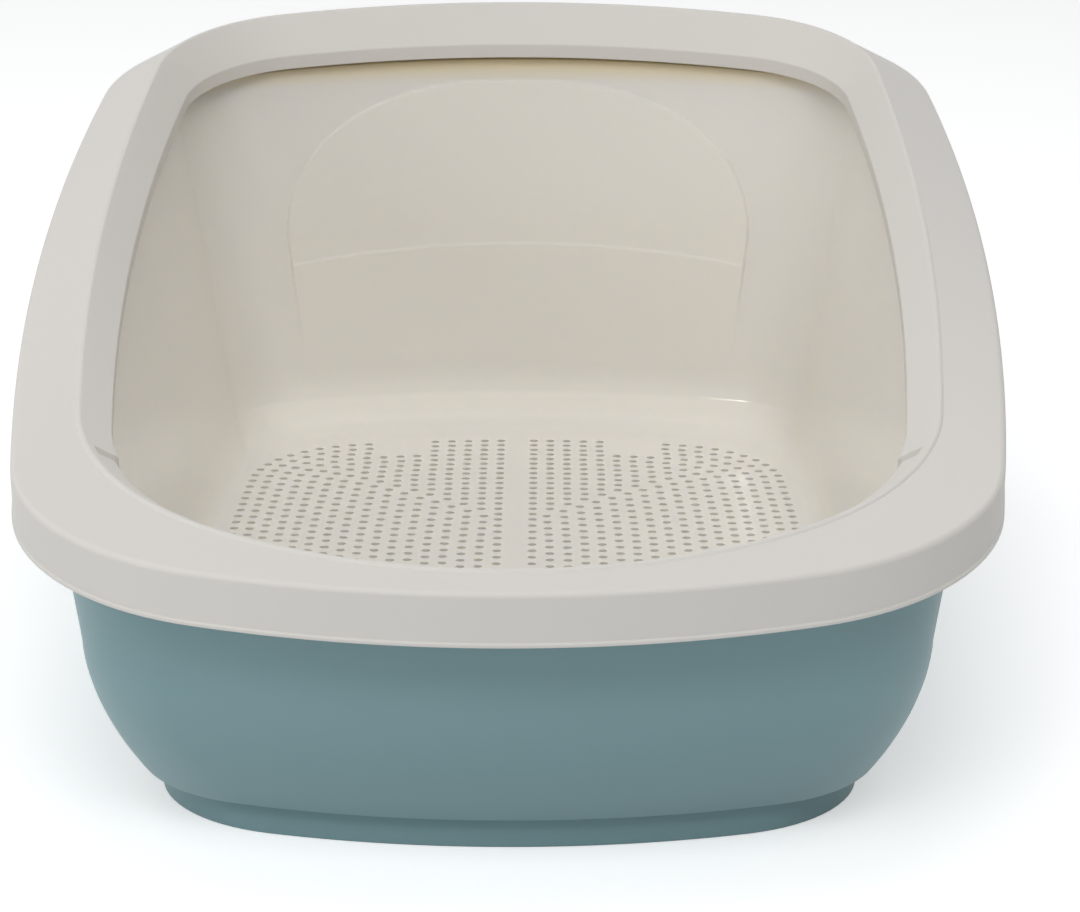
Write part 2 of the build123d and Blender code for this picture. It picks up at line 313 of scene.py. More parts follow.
class StudioStage(PropertyGroup):
    """Floor, lamps and camera."""

    floor_size: length("Floor size", "Side of the square floor", 14000.0)
    floor_colour: colour("Floor colour", "Colour of the floor", 232, 233, 234)
    floor_glow: share("Floor glow", "Light added to the floor where the camera sees it", 0.48)
    sky_strength: share("Sky strength", "Strength of the even light from all round", 0.285)
    front_power: power("Front lamp", "Power of the high front lamp", 23.5)
    top_power: power("Top lamp", "Power of the lamp overhead", 14.0)
    left_power: power("Left lamp", "Power of the low lamp on the left", 8.5)
    back_power: power("Back lamp", "Power of the lamp at the back left", 2.0)
    right_power: power("Right lamp", "Power of the lamp on the right", 0.4)
    glint_power: power("Glint lamp", "Power of the small lamp whose glint lies in the cove", 3.6)
    focal_length: FloatProperty(
        name="Focal length", description="Focal length of the camera", default=140.0, unit="CAMERA"
    )


class TraySettings(PropertyGroup):
    """All settings, group by group."""

    outline: PointerProperty(type=TrayOutline)
    rim: PointerProperty(type=RimShape)
    pan: PointerProperty(type=PanShape)
    sieve: PointerProperty(type=SieveShape)
    panel: PointerProperty(type=BackPanel)
    holes: PointerProperty(type=HolePattern)
    finishes: PointerProperty(type=Finishes)
    stage: PointerProperty(type=StudioStage)


def clamped(value):
    """A value kept between 0 and 1."""
    return min(max(value, 0.0), 1.0)


def sloping_plane(tray, front, back):
    """Height at Y = 0 and rise per metre of the plane through two heights, each with its inset."""
    front_y = front[1] - tray.length / 2
    back_y = tray.length / 2 - back[1]
    rise = (back[0] - front[0]) / (back_y - front_y)
    return front[0] - front_y * rise, rise


def lowered(plane, drop):
    """The plane moved straight down."""
    return plane[0] - drop, plane[1]


def edge_plane(tray, drop=0.0):
    """The plane of the rim's outer edge, or one a drop below it."""
    edge = sloping_plane(tray, (tray.edge_front_height, 0.0), (tray.edge_back_height, 0.0))
    return lowered(edge, drop)


def corner_centre(first, second, corner, end):
    """Centre of a corner between two circles (centre, radius); end is 1 at the back, -1 in front."""
    centre, radius = first[0], first[1] - corner
    across, along = second[0][0] - centre[0], second[0][1] - centre[1]
    span = hypot(across, along)
    reach = (radius**2 - (second[1] - corner) ** 2 + span**2) / (2 * span)
    off = sqrt(max(radius**2 - reach**2, 0.0))
    x = centre[0] + (reach * across - end * off * along) / span
    y = centre[1] + (reach * along + end * off * across) / span
    return x, y


def arc_points(centre, radius, start, stop, spans):
    """Points along an arc, its start included and its end left out."""
    for step in range(spans):
        angle = start + (stop - start) * step / spans
        yield centre[0] + radius * cos(angle), centre[1] + radius * sin(angle)


def angle_of(point, centre):
    """Direction of a point from a centre."""
    return atan2(point[1] - centre[1], point[0] - centre[0])


def right_half(half_width, middle_y, ends, radii, corners, spans, cuts=()):
    """Points of an outline's right half, from the back's middle to the front's.

    ends are the Y of front and back, radii those of side, front and back, corners those of front and
    back corner. cuts say how far round the front corner its numbers of spans change.
    """
    front_y, back_y = ends
    side = (half_width - radii[0], middle_y), radii[0]
    front = (0.0, front_y + radii[1]), radii[1]
    back = (0.0, back_y - radii[2]), radii[2]
    front_corner = corner_centre(side, front, corners[0], -1)
    back_corner = corner_centre(side, back, corners[1], 1)
    back_end, back_side = angle_of(back_corner, back[0]), angle_of(back_corner, side[0])
    front_side, front_end = angle_of(front_corner, side[0]), angle_of(front_corner, front[0])
    points = [*arc_points(*back, pi / 2, back_end, spans[0])]
    points += arc_points(back_corner, corners[1], back_end, back_side, spans[1])
    points += arc_points(*side, back_side, front_side, spans[2])
    stops = [front_side + (front_end - front_side) * cut for cut in (0.0, *cuts, 1.0)]
    for start, stop, count in zip(stops, stops[1:], spans[3]):
        points += arc_points(front_corner, corners[0], start, stop, count)
    points += arc_points(*front, front_end, -pi / 2, spans[4])
    points.append((0.0, front_y))
    return points


def outline(tray, plane, insets, corners, spans, cuts=(), front_radius=None):
    """The whole outline on a plane; insets are those of side, front and back."""
    stretch = hypot(1.0, plane[1])
    side, front, back = insets
    end = tray.length / 2
    right = right_half(
        tray.width / 2 - side,
        tray.side_middle_y,
        ((front - end) * stretch, (end - back) * stretch),
        (tray.side_radius - side, front_radius or tray.front_radius - front, tray.back_radius - back),
        corners,
        spans,
        cuts,
    )
    flat = right + [(-x, y) for x, y in reversed(right[1:-1])]
    return [Vector((x, y / stretch, plane[0] + plane[1] * y / stretch)) for x, y in flat]


def even_outline(tray, plane, inset, spans=PLAIN_SPANS, cuts=()):
    """The tray's outline moved inward by the same distance all round."""
    corners = (tray.front_corner_radius - inset, tray.back_corner_radius - inset)
    return outline(tray, plane, (inset, inset, inset), corners, spans, cuts)


def level_outline(tray, height, size, inset, spans=PLAIN_SPANS):
    """A level outline moved inward; size is its half width, half length and corner before that."""
    half_width, half_length, corner = (value - inset for value in size)
    side, end = tray.width / 2 - half_width, tray.length / 2 - half_length
    return outline(tray, (height, 0.0), (side, end, end), (corner, corner), spans)


def between(first, second, part):
    """The outline part of the way from one outline to another."""
    return [a.lerp(b, part) for a, b in zip(first, second)]


def edges_at(verts):
    """The edges at some vertices, each once."""
    return list(dict.fromkeys(edge for vert in verts for edge in vert.link_edges))


def first_ring(mesh, points):
    """A closed ring of edges through the points; gives its vertices and edges."""
    verts = bmesh.ops.create_circle(mesh, cap_ends=False, radius=1.0, segments=len(points))["verts"]
    for vert, point in zip(verts, points):
        vert.co = point
    return verts, edges_at(verts)


def only(items, kind):
    """The items of one kind, such as vertices or edges."""
    return [item for item in items if isinstance(item, kind)]


def next_ring(mesh, ring, points):
    """Extrudes a ring to the next outline; gives the new ring."""
    made = bmesh.ops.extrude_edge_only(mesh, edges=ring[1])["geom"]
    fresh = set(only(made, bmesh.types.BMVert))
    verts = []
    for vert, point in zip(ring[0], points):
        follower = next(
            edge.other_vert(vert) for edge in vert.link_edges if edge.other_vert(vert) in fresh
        )
        follower.co = point
        verts.append(follower)
    return verts, [edge for edge in only(made, bmesh.types.BMEdge) if fresh.issuperset(edge.verts)]


def shell(mesh, outlines, closed=False):
    """A shell through the outlines, joined back to its first outline where it is closed."""
    rings = [first_ring(mesh, outlines[0])]
    for points in outlines[1:]:
        rings.append(next_ring(mesh, rings[-1], points))
    if closed:
        seam = next_ring(mesh, rings[-1], outlines[0])
        bmesh.ops.weld_verts(mesh, targetmap=dict(zip(seam[0], rings[0][0])))
    return rings


def round_rings(mesh, rings, offset, segments):
    """Rounds the edges of whole rings."""
    bmesh.ops.bevel(
        mesh,
        geom=[edge for ring in rings for edge in ring[1] if edge.is_valid],
        offset=offset,
        affect="EDGES",
        segments=segments,
        profile=0.5,
        material=-1,
        clamp_overlap=True,
    )


def mesh_data(name, mesh):
    """Ends a bmesh and gives it as mesh data."""
    data = bpy.data.meshes.new(name)
    mesh.to_mesh(data)
    mesh.free()
    return data


def add_object(name, data):
    """A new object in the scene."""
    made = bpy.data.objects.new(name, data)
    bpy.context.scene.collection.objects.link(made)
    return made


def finish_piece(mesh, name, body, node, material):
    """Turns a bmesh into the piece that stands for a CAD node and rides on its body."""
    bmesh.ops.remove_doubles(mesh, verts=mesh.verts, dist=SAME_PLACE)
    bmesh.ops.recalc_face_normals(mesh, faces=mesh.faces)
    data = mesh_data(name, mesh)
    data.shade_smooth()
    data.set_sharp_from_angle(angle=SHARP_ANGLE)
    data.materials.append(material)
    piece = add_object(name, data)
    normals = piece.modifiers.new("Even shading", "WEIGHTED_NORMAL")
    normals.keep_sharp = True
    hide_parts(node)
    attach(piece, body)


def new_material(name):
    """A material with its nodes and links."""
    material = bpy.data.materials.new(name)
    material.use_nodes = True
    return material, material.node_tree.nodes, material.node_tree.links


def set_inputs(node, values):
    """Sets a node's inputs by name."""
    for name, value in values.items():
        node.inputs[name].default_value = value


def plastic(name, base_colour, roughness, grain, grain_scale, depth=0.0):
    """A moulded plastic with a grain on Object coordinates; depth is how much light enters it."""
    material, nodes, links = new_material(name)
    shader = nodes["Principled BSDF"]
    finish = {
        "Base Color": (*base_colour, 1.0),
        "Roughness": roughness,
        "IOR": PLASTIC_IOR,
        "Subsurface Weight": depth,
        "Subsurface Radius": LIGHT_REACH,
        "Subsurface Scale": LIGHT_DEPTH,
    }
    set_inputs(shader, finish)
    place = nodes.new("ShaderNodeTexCoord")
    noise = nodes.new("ShaderNodeTexNoise")
    set_inputs(noise, {"Scale": grain_scale, "Detail": GRAIN_DETAIL})
    bump = nodes.new("ShaderNodeBump")
    set_inputs(bump, {"Strength": grain, "Distance": GRAIN_HEIGHT})
    links.new(place.outputs["Object"], noise.inputs["Vector"])
    links.new(noise.outputs["Fac"], bump.inputs["Height"])
    links.new(bump.outputs["Normal"], shader.inputs["Normal"])
    return material


def mark_upwards(mesh, verts, start, stop):
    """Stores how much of the warm shade painted under the back lip each vertex gets: none at one height,
    all of it at another.
    """
    warmth = mesh.verts.layers.float["warmth"]
    for vert in verts:
        vert[warmth] = clamped((vert.co.z - start) / (stop - start))


def paint_lip_shade(material, base_colour, painted_shade_tone):
    """Paints the warm shade under the sieve's back lip into a plastic's colour, as much as the mesh
    stores at each vertex.
    """
    nodes, links = material.node_tree.nodes, material.node_tree.links
    warmth = nodes.new("ShaderNodeAttribute")
    warmth.attribute_name = "warmth"
    ramp = nodes.new("ShaderNodeValToRGB")
    ramp.color_ramp.elements[0].color = (*base_colour, 1.0)
    ramp.color_ramp.elements[1].color = (*painted_shade_tone, 1.0)
    links.new(warmth.outputs["Fac"], ramp.inputs["Fac"])
    links.new(ramp.outputs["Color"], nodes["Principled BSDF"].inputs["Base Color"])


def bowl_outline(tray, pan, part, wall, bottom_height):
    """The bowl's outline part of the way up, further in by a power of what is left to the top."""
    left = (1 - part) ** pan.bowl_power
    height = bottom_height + part * (pan.bowl_top_height - bottom_height)
    across, along = tray.width / 2 - pan.bowl_top_inset, tray.length / 2 - pan.bowl_top_inset
    half_width = across - left * (across - pan.crease_half_width)
    half_length = along - left * (along - pan.crease_half_length)
    corner = pan.bowl_corner_radius + left * (pan.crease_corner_radius - pan.bowl_corner_radius)
    return level_outline(tray, height, (half_width, half_length, corner), wall)


def pan_wall(tray, pan, wall, bottom_height, top_drop):
    """The pan's outlines from the bottom of the bowl up to the flange."""
    rising = [
        bowl_outline(tray, pan, step / BOWL_STEPS, wall, bottom_height)
        for step in range(BOWL_STEPS + 1)
    ]
    top = even_outline(tray, edge_plane(tray, top_drop), pan.top_inset + wall)
    steps = [between(rising[-1], top, step / WALL_STEPS) for step in range(1, WALL_STEPS)]
    return rising + steps + [top]


def pan_outlines(tray, pan):
    """The pan's outlines: up the inside, round the flange, down the outside and round the foot."""
    under_flange = pan.flange_drop + pan.flange_thickness
    turned_down = under_flange + pan.turn_down
    flange_inside = pan.flange_inset + pan.flange_thickness
    flange = [
        even_outline(tray, edge_plane(tray, drop), inset)
        for drop, inset in (
            (pan.flange_drop, pan.flange_inset),
            (turned_down, pan.flange_inset),
            (turned_down, flange_inside),
            (under_flange, flange_inside),
        )
    ]
    size = (pan.foot_half_width, pan.foot_half_length, pan.foot_corner_radius)
    foot = [
        level_outline(tray, pan.foot_height, size, 0.0),
        level_outline(tray, 0.0, size, 0.0),
        level_outline(tray, 0.0, size, pan.foot_wall),
        level_outline(tray, pan.foot_height, size, pan.foot_wall),
    ]
    inside = pan_wall(tray, pan, pan.wall, pan.floor_height, pan.flange_drop)
    outside = pan_wall(tray, pan, 0.0, pan.foot_height, under_flange)
    return inside, flange, outside[::-1], foot


class LITTERTRAY_OT_base_pan(Operator):
    """Build the teal base pan: foot ring, bowl, drafted wall and turned-down flange"""

    bl_idname = "litter_tray.base_pan"
    bl_label = "Base pan"

    def execute(self, context):
        settings = context.scene.litter_tray
        pan, finishes = settings.pan, settings.finishes
        mesh = bmesh.new()
        inside, flange, outside, foot = pan_outlines(settings.outline, pan)
        rings = shell(mesh, inside + flange + outside + foot)
        mouth_and_flange = rings[len(inside) - 1 : len(inside) + len(flange) - 1]
        crease_and_foot = rings[-len(foot) - 1 : -1]
        bmesh.ops.edgeloop_fill(mesh, edges=rings[0][1])
        bmesh.ops.edgeloop_fill(mesh, edges=rings[-1][1])
        round_rings(mesh, mouth_and_flange + crease_and_foot, pan.edge_round, segments=3)
        material = plastic(
            "teal plastic", finishes.teal, finishes.pan_roughness, finishes.grain, FINE_GRAIN
        )
        finish_piece(mesh, "pan_moulding", "pan", "base_pan", material)
        return {"FINISHED"}


def cove_outline(tray, sieve, part, wall):
    """The outline part of the way up the rounded cove."""
    turn = part * pi / 2
    height = sieve.floor_height - wall + sieve.cove_height * (1 - cos(turn))
    across, along = sieve.floor_half_width, sieve.floor_half_length
    half_width = across + (sieve.cove_half_width + wall - across) * sin(turn)
    half_length = along + (sieve.cove_half_length + wall - along) * sin(turn)
    corner = sieve.cove_corner_radius + wall * sin(turn)
    return level_outline(tray, height, (half_width, half_length, corner), 0.0, SIEVE_SPANS)


def soft_cove(floor_edge, cove_top, mouth, rise):
    """Outlines from the floor's edge to a height over it on the wall, curved into both."""
    foot = [
        top.lerp(high, (floor.z - top.z) / (high.z - top.z))
        for floor, top, high in zip(floor_edge, cove_top, mouth)
    ]
    end = [low.lerp(high, rise / (high.z - low.z)) for low, high in zip(foot, mouth)]
    parts = [step / COVE_STEPS for step in range(COVE_STEPS + 1)]
    return [between(between(floor_edge, foot, part), between(foot, end, part), part) for part in parts]


def mouth_outline(tray, sieve, wall, drop):
    """The outline of the sieve's walls where they meet the flange."""
    return outline(
        tray,
        edge_plane(tray, drop),
        (sieve.side_inset - wall, sieve.front_inset - wall, sieve.back_inset - wall),
        (sieve.front_corner_radius + wall, sieve.back_corner_radius + wall),
        SIEVE_SPANS,
    )


def panel_outline_distance(panel, x, z):
    """Distance inside the arched panel's outline, negative outside it."""
    lean = panel.side_lean * max(panel.shoulder_height - z, 0.0)
    half_width = panel.half_width - lean
    if z <= panel.shoulder_height:
        return min(half_width - abs(x), z - panel.bottom_height)
    # Over the shoulders the outline is half a superellipse
    rise = (z - panel.shoulder_height) / (panel.top_height - panel.shoulder_height)
    across = abs(x) / half_width
    radius = (across**ARCH_POWER + rise**ARCH_POWER) ** (1 / ARCH_POWER)
    size = hypot(x, z - panel.shoulder_height)
    return size * (1 / radius - 1) if radius > 0 else half_width


def cut_band(mesh, verts, distance, width):
    """Cuts the faces among some vertices where a distance is 0 and where it is a width."""
    for level in (0.0, width):
        crossings = []
        for edge in mesh.edges:
            start, stop = edge.verts
            if start in verts and stop in verts:
                before, after = distance(start.co) - level, distance(stop.co) - level
                if before * after < 0:
                    crossings.append((edge, start, before / (before - after)))
        made = [bmesh.utils.edge_split(edge, start, part)[1] for edge, start, part in crossings]
        bmesh.ops.connect_verts(mesh, verts=made)
        verts.update(made)


def back_verts(rings):
    """The vertices of some rings in the tray's back half."""
    return {vert for ring in rings for vert in ring[0] if vert.co.y > 0}


def press_panel(mesh, panel, wall_rings):
    """Presses the arched panel and its fold into the back wall; gives the wall's vertices."""
    verts = back_verts(wall_rings)

    def inside_edge(point):
        return panel_outline_distance(panel, point.x, point.z)

    def below_fold(point):
        return panel.fold_height - panel.fold_sag * (point.x / panel.half_width) ** 2 - point.z

    cut_band(mesh, verts, inside_edge, panel.edge_width)
    cut_band(mesh, verts, below_fold, panel.fold_width)
    for vert in verts:
        part = clamped(inside_edge(vert.co) / panel.edge_width)
        low = below_fold(vert.co)
        step = panel.fold_step * clamped(low / panel.fold_width)
        fade = 1 - max(low, 0.0) / (low + vert.co.z - panel.bottom_height)
        vert.co.y -= part * (panel.relief + step) * max(fade, 0.0)
    return verts


def press_ledge(mesh, panel, verts):
    """Moves the back of the cove forwards under a small ledge that faces up."""

    def below_ledge(point):
        return panel.ledge_height - point.z

    cut_band(mesh, verts, below_ledge, panel.fold_width)
    for vert in verts:
        low = below_ledge(vert.co)
        part = clamped(low / panel.fold_width)
        fade = clamped(1 - low / panel.ledge_height)
        ends = clamped((panel.ledge_half_width - abs(vert.co.x)) / panel.ledge_end)
        vert.co.y -= panel.ledge_step * part * fade * ends


def hole_centres(tray, holes):
    """Centres of the holes on the right, line by line from the outermost inwards."""
    last = holes.lines - 1
    widths = holes.half_width - holes.first_column
    side_growth = (widths - holes.side_spacing * last) / last**2
    centres = []
    for line in range(holes.lines):
        inset = holes.side_spacing * line + side_growth * line**2
        half_width = holes.half_width - inset
        back_y = holes.half_length - holes.end_spacing * line - END_SPREAD * line**2
        end = holes.end_radius - inset
        corner = max(holes.corner_radius - inset, SHARPEST_CORNER)
        if line == last:
            path = [(half_width, back_y), (half_width, -back_y)]
        else:
            path = right_half(
                half_width,
                tray.side_middle_y,
                (-back_y, back_y),
                (tray.side_radius - inset, end, end),
                (corner, corner),
                LINE_SPANS,
            )
            path = cut_before(path, holes.first_column)
        for x, y in even_steps(path, holes.end_pitch, holes.side_pitch):
            at_back = line < holes.bare_patch_lines and y > 0
            if not (at_back and 0 < x - holes.bare_patch_x < holes.bare_patch_width):
                centres.append((x, y))
    return centres


def cut_before(path, near_x):
    """A path's stretch beyond near_x, from its first crossing to its last."""
    inner = [point for point in path if point[0] > near_x]
    first_y = path[0][1] + (inner[0][1] - path[0][1]) * near_x / inner[0][0]
    return [(near_x, first_y), *inner, (near_x, -first_y)]


def even_steps(path, end_pitch, side_pitch):
    """Points along a path: at the end pitch where it runs across, at the side pitch where along."""
    travelled = [0.0]
    for start, stop in zip(path, path[1:]):
        across, along = stop[0] - start[0], stop[1] - start[1]
        step = hypot(across, along)
        pitch = end_pitch + (side_pitch - end_pitch) * abs(along) / step
        travelled.append(travelled[-1] + step / pitch)
    count = max(round(travelled[-1]), 1)
    place = 0
    for index in range(count + 1):
        goal = travelled[-1] * index / count
        while place < len(path) - 2 and travelled[place + 1] < goal:
            place += 1
        part = (goal - travelled[place]) / (travelled[place + 1] - travelled[place])
        start, stop = path[place], path[place + 1]
        yield start[0] + (stop[0] - start[0]) * part, start[1] + (stop[1] - start[1]) * part


def perforated_floor(rim_points, tray, sieve, holes):
    """The floor with its holes inside an outline, as a mesh: its right half is made and mirrored."""
    plate = bmesh.new()
    edges = first_ring(plate, rim_points[: len(rim_points) // 2 + 1])[1]
    for x, y in hole_centres(tray, holes):
        hole = bmesh.ops.create_circle(
            plate,
            cap_ends=False,
            radius=holes.diameter / 2,
            segments=holes.sides,
            matrix=Matrix.Translation((x, y, sieve.floor_height)),
        )
        hole_edges = edges_at(hole["verts"])
        edges += hole_edges
        for edge in hole_edges:
            edge.seam = True
    bmesh.ops.triangle_fill(plate, use_beauty=True, edges=edges)
    half = plate.verts[:] + plate.edges[:] + plate.faces[:]
    bmesh.ops.mirror(plate, geom=half, axis="X", merge_dist=SAME_PLACE)
    whole = plate.verts[:] + plate.edges[:] + plate.faces[:]
    under = bmesh.ops.duplicate(plate, geom=whole)["geom"]
    hole_edges = [edge for edge in only(whole, bmesh.types.BMEdge) if edge.seam]
    walls = bmesh.ops.extrude_edge_only(plate, edges=hole_edges)["geom"]
    low_verts = only(under + walls, bmesh.types.BMVert)
    bmesh.ops.translate(plate, verts=low_verts, vec=(0.0, 0.0, -sieve.wall))
    for edge in plate.edges:
        edge.seam = False
    return mesh_data("floor plate", plate)


def sieve_outlines(tray, sieve, flange_inset):
    """The sieve's outlines: up the cove, up the wall, round the flange and down the outside."""
    under_flange = sieve.flange_drop + sieve.flange_thickness
    mouth = mouth_outline(tray, sieve, 0.0, sieve.flange_drop)
    floor_edge, cove_top = (cove_outline(tray, sieve, part, 0.0) for part in (0.0, 1.0))
    cove = soft_cove(floor_edge, cove_top, mouth, sieve.cove_rise)
    wall = [between(cove[-1], mouth, step / BACK_WALL_STEPS) for step in range(1, BACK_WALL_STEPS)]
    flange = [
        even_outline(tray, edge_plane(tray, drop), flange_inset, SIEVE_SPANS)
        for drop in (sieve.flange_drop, under_flange)
    ]
    outside = [
        cove_outline(tray, sieve, step / COVE_STEPS, sieve.wall) for step in range(COVE_STEPS, -1, -1)
    ]
    outside.insert(0, mouth_outline(tray, sieve, sieve.wall, under_flange))
    return cove, [*wall, mouth], flange, outside


class LITTERTRAY_OT_sieve_insert(Operator):
    """Build the cream sieve insert: perforated floor, cove, walls, arched panel and flange"""

    bl_idname = "litter_tray.sieve_insert"
    bl_label = "Sieve insert"

    def execute(self, context):
        settings = context.scene.litter_tray
        tray, sieve, finishes = settings.outline, settings.sieve, settings.finishes
        mesh = bmesh.new()
        # A vertex layer holds the shade painted under the back lip
        mesh.verts.layers.float.new("warmth")
        cove, wall, flange, outside = sieve_outlines(tray, sieve, settings.pan.flange_inset)
        rings = shell(mesh, cove + wall + flange + outside)
        mouth_place = len(cove) + len(wall) - 1
        mouth_ring = rings[mouth_place]
        flange_rings = rings[mouth_place + 1 : mouth_place + 1 + len(flange)]
        verts = press_panel(mesh, settings.panel, rings[len(cove) : mouth_place])
        verts |= back_verts([mouth_ring])
        # The back wall and mouth get more painted shade towards the lip
        mark_upwards(mesh, verts, sieve.lip_shade_from, sieve.lip_shade_to)
        verts |= back_verts(rings[1 : len(cove)])
        press_ledge(mesh, settings.panel, verts)
        floor = perforated_floor(cove[0], tray, sieve, settings.holes)
        mesh.from_mesh(floor)
        bpy.data.meshes.remove(floor)
        round_rings(mesh, [mouth_ring], sieve.mouth_round, segments=4)
        round_rings(mesh, flange_rings, settings.pan.edge_round / 2, segments=2)
        material = plastic(
            "cream plastic",
            finishes.cream,
            finishes.sieve_roughness,
            finishes.grain / 2,
            SOFT_GRAIN,
            finishes.sieve_depth,
        )
        # Paints the warm shade under the back lip into the sieve's colour
        paint_lip_shade(material, finishes.cream, finishes.lip_shade_colour)
        finish_piece(mesh, "sieve_moulding", "sieve", "sieve_insert", material)
        return {"FINISHED"}


def entry_cuts(rim):
    """The parts of the front corner where the groove of the entry starts, is deepest and ends."""
    start = rim.entry_step_part
    return start, start + GROOVE_RUN / 2, start + GROOVE_RUN


def ridge_outline(tray, rim, plane, beyond):
    """The ridge's outline, rounder at the front than the tray, or one moved inward from it."""
    inset = rim.outer_face_width + beyond
    return outline(
        tray,
        plane,
        (inset, rim.ridge_front_inset + beyond, inset),
        (rim.ridge_corner_radius - beyond, tray.back_corner_radius - inset),
        RIM_SPANS,
        entry_cuts(rim),
        rim.ridge_front_radius - beyond,
    )


def stepped(before, groove, after):
    """One outline behind the entry's groove, a second at the groove and a third in front of it."""
    right = sum(RIM_SPANS[:3]) + RIM_SPANS[3][0] + 1
    left = len(before) - right
    front = [groove[right], *after[right + 1 : left], groove[left]]
    return before[:right] + front + before[left + 1 :]


def rim_outlines(tray, rim):
    """The rim's outlines by name, from the hollow under the ridge round the skirt and the lip."""
    width = rim.inner_face_width
    seat_inset = rim.wall + rim.seat_width
    seat_part = (rim.outer_face_width - seat_inset) / (rim.outer_face_width - rim.wall)
    edge = edge_plane(tray)
    skirt_end = lowered(edge, rim.skirt_height)
    bead_top = lowered(skirt_end, -rim.bead_height)
    seat = lowered(edge, rim.seat_drop)
    ridge = sloping_plane(
        tray,
        (rim.ridge_front_height, rim.ridge_front_inset),
        (rim.ridge_back_height, rim.outer_face_width),
    )
    inner = sloping_plane(
        tray,
        (rim.inner_front_height, rim.ridge_front_inset + width),
        (rim.inner_back_height, rim.outer_face_width + width),
    )
    step, groove, land = rim.entry_step_depth, rim.groove_depth, rim.ridge_land / 2

    def skirt_line(plane, inset):
        return even_outline(tray, plane, inset, RIM_SPANS, entry_cuts(rim))

    def ridge_line(plane, beyond):
        return ridge_outline(tray, rim, plane, beyond)

    def entry_stepped(plane, beyond, fall=0.0):
        """A line that lies a little further out round the entry, with a groove at its ends."""
        return stepped(
            ridge_line(plane, beyond),
            ridge_line(lowered(plane, groove), beyond - step - groove),
            ridge_line(lowered(plane, fall), beyond - step),
        )

    inner_ridge = ridge_line(ridge, land)
    plain_edge = ridge_line(inner, width)
    inner_edge = entry_stepped(inner, width, rim.entry_step_fall)
    step_part = rim.entry_step_top / width
    low_face = between(inner_ridge, plain_edge, step_part + STEP_RUN)
    under_ridge = ridge_line(lowered(ridge, HOLLOW_DEPTH * rim.wall), 0.0)
    under_edge = skirt_line(lowered(edge, rim.wall), rim.wall)
    lip_end = lowered(inner, rim.lip_height)
    return {
        "under ridge": under_ridge,
        "seat top": between(under_ridge, under_edge, seat_part),
        "seat inside": skirt_line(seat, seat_inset),
        "seat outside": skirt_line(seat, rim.wall),
        "skirt inside": skirt_line(skirt_end, rim.wall),
        "skirt foot": skirt_line(skirt_end, 0.0),
        "bead": skirt_line(bead_top, 0.0),
        "over bead": skirt_line(lowered(bead_top, -rim.bead_depth), rim.bead_depth),
        "edge": skirt_line(edge, 0.0),
        "ridge foot": ridge_line(lowered(ridge, rim.ridge_rise), -land - rim.ridge_rise),
        "outer ridge": ridge_line(ridge, -land),
        "inner ridge": inner_ridge,
        "step top": between(inner_ridge, plain_edge, step_part),
        "step foot": [
            face + out - plain for face, out, plain in zip(low_face, inner_edge, plain_edge)
        ],
        "inner edge": inner_edge,
        "lip end": entry_stepped(lip_end, width),
        "lip back": entry_stepped(lip_end, width - rim.wall),
        "under inner edge": entry_stepped(lowered(inner, rim.wall / 2), width - rim.wall),
    }


class LITTERTRAY_OT_rim_frame(Operator):
    """Build the off-white rim frame: skirt, outer face, ridge, inner face, lip and seat"""

    bl_idname = "litter_tray.rim_frame"
    bl_label = "Rim frame"

    def execute(self, context):
        settings = context.scene.litter_tray
        rim, finishes = settings.rim, settings.finishes
        mesh = bmesh.new()
        outlines = rim_outlines(settings.outline, rim)
        rings = dict(zip(outlines, shell(mesh, list(outlines.values()), closed=True)))
        round_rings(mesh, [rings["edge"]], rim.edge_round, segments=5)
        round_rings(mesh, [rings["outer ridge"], rings["inner ridge"]], rim.ridge_round, segments=3)
        round_rings(mesh, [rings[name] for name in LIP_RINGS], rim.lip_round, segments=3)
        material = plastic(
            "off-white plastic", finishes.off_white, finishes.rim_roughness, finishes.grain, FINE_GRAIN
        )
        finish_piece(mesh, "rim_moulding", "rim", "rim_frame", material)
        return {"FINISHED"}


def add_floor(stage):
    """A plain floor that the camera sees as nearly white, with the tray's shadow on it."""
    mesh = bmesh.new()
    bmesh.ops.create_grid(mesh, x_segments=1, y_segments=1, size=stage.floor_size / 2)
    floor = add_object("floor", mesh_data("floor", mesh))
    material, nodes, links = new_material("pale floor")
    nodes.remove(nodes["Principled BSDF"])
    paint = nodes.new("ShaderNodeBsdfDiffuse")
    set_inputs(paint, {"Color": (*stage.floor_colour, 1.0)})
    glow = nodes.new("ShaderNodeEmission")
    set_inputs(glow, {"Color": WHITE})
    both = nodes.new("ShaderNodeAddShader")
    links.new(seen_strength(nodes, links, 0.0, stage.floor_glow), glow.inputs["Strength"])
    links.new(paint.outputs["BSDF"], both.inputs[0])
    links.new(glow.outputs["Emission"], both.inputs[1])
    links.new(both.outputs["Shader"], nodes["Material Output"].inputs["Surface"])
    floor.data.materials.append(material)


def seen_strength(nodes, links, unseen, seen):
    """One strength for the light on the tray, another for what the camera and reflections see."""
    path = nodes.new("ShaderNodeLightPath")
    seen_by = path.outputs["Is Camera Ray"]
    for kind in ("Is Glossy Ray", "Is Transmission Ray"):
        either = nodes.new("ShaderNodeMath")
        either.operation = "MAXIMUM"
        links.new(seen_by, either.inputs[0])
        links.new(path.outputs[kind], either.inputs[1])
        seen_by = either.outputs["Value"]
    spread = nodes.new("ShaderNodeMapRange")
    set_inputs(spread, {"To Min": unseen, "To Max": seen})
    links.new(seen_by, spread.inputs["Value"])
    return spread.outputs["Result"]


def add_sky(scene, stage):
    """Even light from all round, which the camera sees as white."""
    sky = bpy.data.worlds.new("studio sky")
    scene.world = sky
    sky.use_nodes = True
    nodes, links = sky.node_tree.nodes, sky.node_tree.links
    light = nodes["Background"]
    set_inputs(light, {"Color": WHITE})
    links.new(seen_strength(nodes, links, stage.sky_strength, 1.0), light.inputs["Strength"])


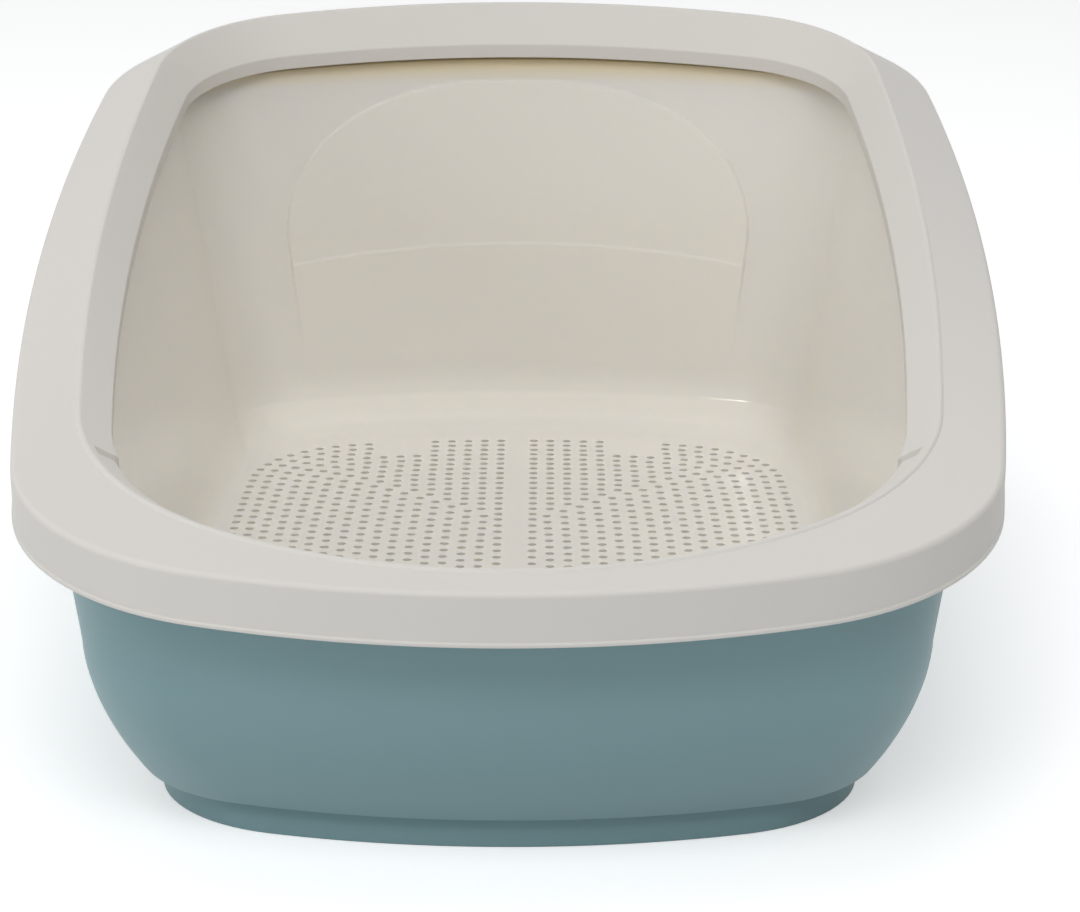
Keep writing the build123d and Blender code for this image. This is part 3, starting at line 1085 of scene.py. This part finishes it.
def add_lamp(name, place, size, watts):
    """A lamp that faces the tray: a broad one lights it unseen, a small one shows in reflections."""
    light = bpy.data.lights.new(name, "AREA")
    light.shape = "RECTANGLE"
    light.size, light.size_y = size
    light.energy = watts
    lamp = add_object(name, light)
    lamp.location = place
    lamp.visible_glossy = size[0] < BROAD_LAMP
    lamp.visible_diffuse = not lamp.visible_glossy
    lamp.rotation_euler = (Vector(LAMP_TARGET) - Vector(place)).to_track_quat("-Z", "Y").to_euler()


def add_camera(scene, stage):
    """The camera at the photograph's viewing angle."""
    data = bpy.data.cameras.new("camera")
    data.lens = stage.focal_length
    data.sensor_fit = "HORIZONTAL"
    data.sensor_width = SENSOR_WIDTH
    data.clip_start = NEAREST_SEEN
    camera = add_object("camera", data)
    camera.location = CAMERA_PLACE
    camera.rotation_euler = (radians(90 - CAMERA_TILT), 0.0, radians(CAMERA_TURN))
    scene.camera = camera


class LITTERTRAY_OT_stage(Operator):
    """Build the plain floor, the lamps, the even sky and the camera"""

    bl_idname = "litter_tray.stage"
    bl_label = "Stage"

    def execute(self, context):
        stage = context.scene.litter_tray.stage
        add_floor(stage)
        add_sky(context.scene, stage)
        for name, place, size in LAMPS:
            add_lamp(f"{name} lamp", place, size, getattr(stage, f"{name}_power"))
        add_camera(context.scene, stage)
        context.scene.view_settings.view_transform = "Standard"
        return {"FINISHED"}


PIECES = (LITTERTRAY_OT_base_pan, LITTERTRAY_OT_sieve_insert, LITTERTRAY_OT_rim_frame)
OPERATORS = (*PIECES, LITTERTRAY_OT_stage)


class LITTERTRAY_PT_panel(Panel):
    """Lists the tray's operators and settings in the sidebar"""

    bl_idname = "LITTERTRAY_PT_panel"
    bl_label = "Litter tray"
    bl_space_type = "VIEW_3D"
    bl_region_type = "UI"
    bl_category = "Litter tray"

    def draw(self, context):
        layout = self.layout
        for operator in OPERATORS:
            layout.operator(operator.bl_idname)
        settings = context.scene.litter_tray
        for group_name in TraySettings.__annotations__:
            group = getattr(settings, group_name)
            column = layout.box().column()
            column.label(text=group_name.capitalize())
            for name in type(group).__annotations__:
                column.prop(group, name)


SETTINGS = (TrayOutline, RimShape, PanShape, SieveShape, BackPanel, HolePattern, Finishes, StudioStage)
CLASSES = (*SETTINGS, TraySettings, *OPERATORS, LITTERTRAY_PT_panel)


def register():
    """Registers the classes and puts the settings on the scene."""
    for part in CLASSES:
        bpy.utils.register_class(part)
    bpy.types.Scene.litter_tray = PointerProperty(type=TraySettings)


def unregister():
    """Takes the settings off the scene and unregisters the classes."""
    del bpy.types.Scene.litter_tray
    for part in reversed(CLASSES):
        bpy.utils.unregister_class(part)


def main():
    register()
    bpy.ops.litter_tray.base_pan()
    bpy.ops.litter_tray.sieve_insert()
    bpy.ops.litter_tray.rim_frame()
    bpy.ops.litter_tray.stage()


if __name__ == "__main__":
    main()
